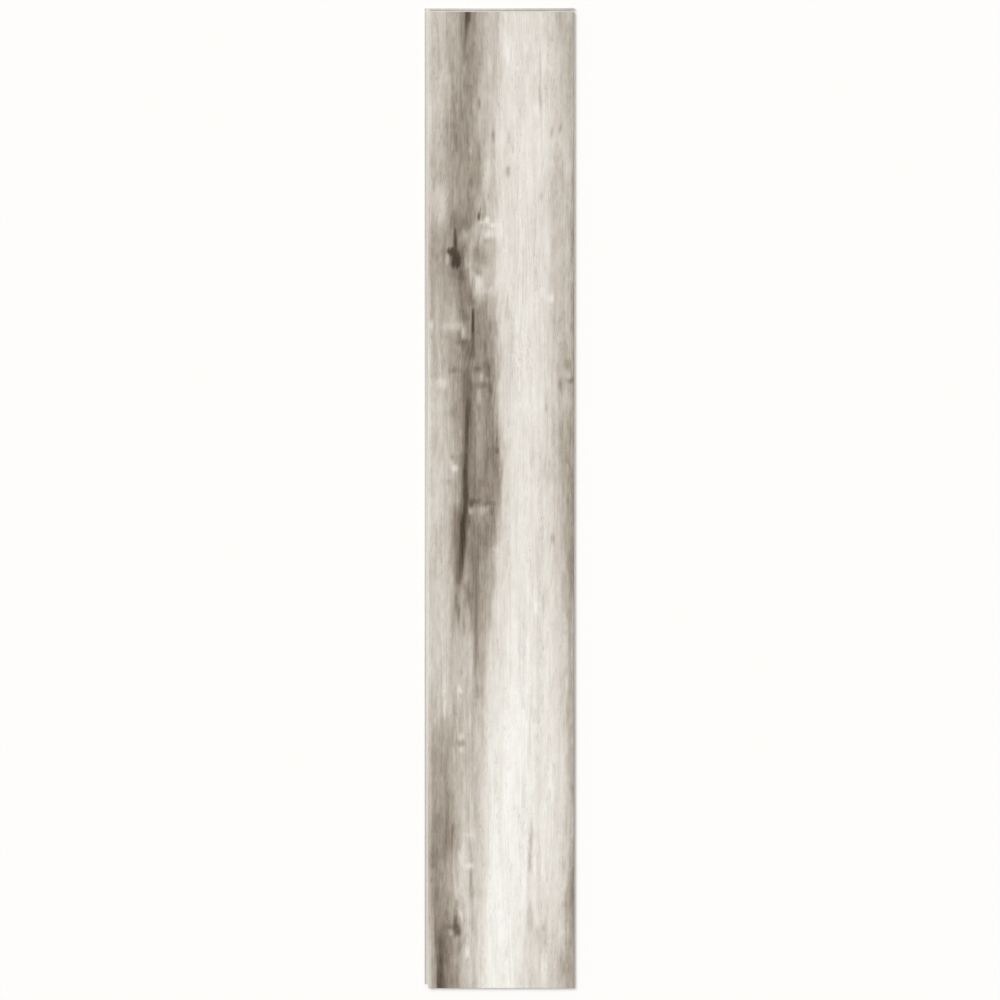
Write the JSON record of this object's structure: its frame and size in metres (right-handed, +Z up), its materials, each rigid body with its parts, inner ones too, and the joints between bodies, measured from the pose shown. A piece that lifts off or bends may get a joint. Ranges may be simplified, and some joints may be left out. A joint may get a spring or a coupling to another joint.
{
  "type": "rigid core vinyl plank",
  "caption": "Flat rigid core vinyl floor plank with a weathered greige wood-look face and click-lock edges: tongue and groove on the long sides, drop hooks on the ends.",
  "frame": {"origin": "in the plane of the underside, below the middle of the printed face", "axes": "+Z up out of the printed face, +Y along the plank towards the end with the upward hook, +X across it towards the long edge with the tongue"},
  "size_m": [0.1882, 1.2251, 0.005],
  "materials": {
    "printed_rigid_vinyl": "matte clear wear layer over a printed weathered-wood film, on a stone-filled vinyl core"
  },
  "bodies": {
    "root": {"plank": "printed_rigid_vinyl"}
  },
  "joints": []
}
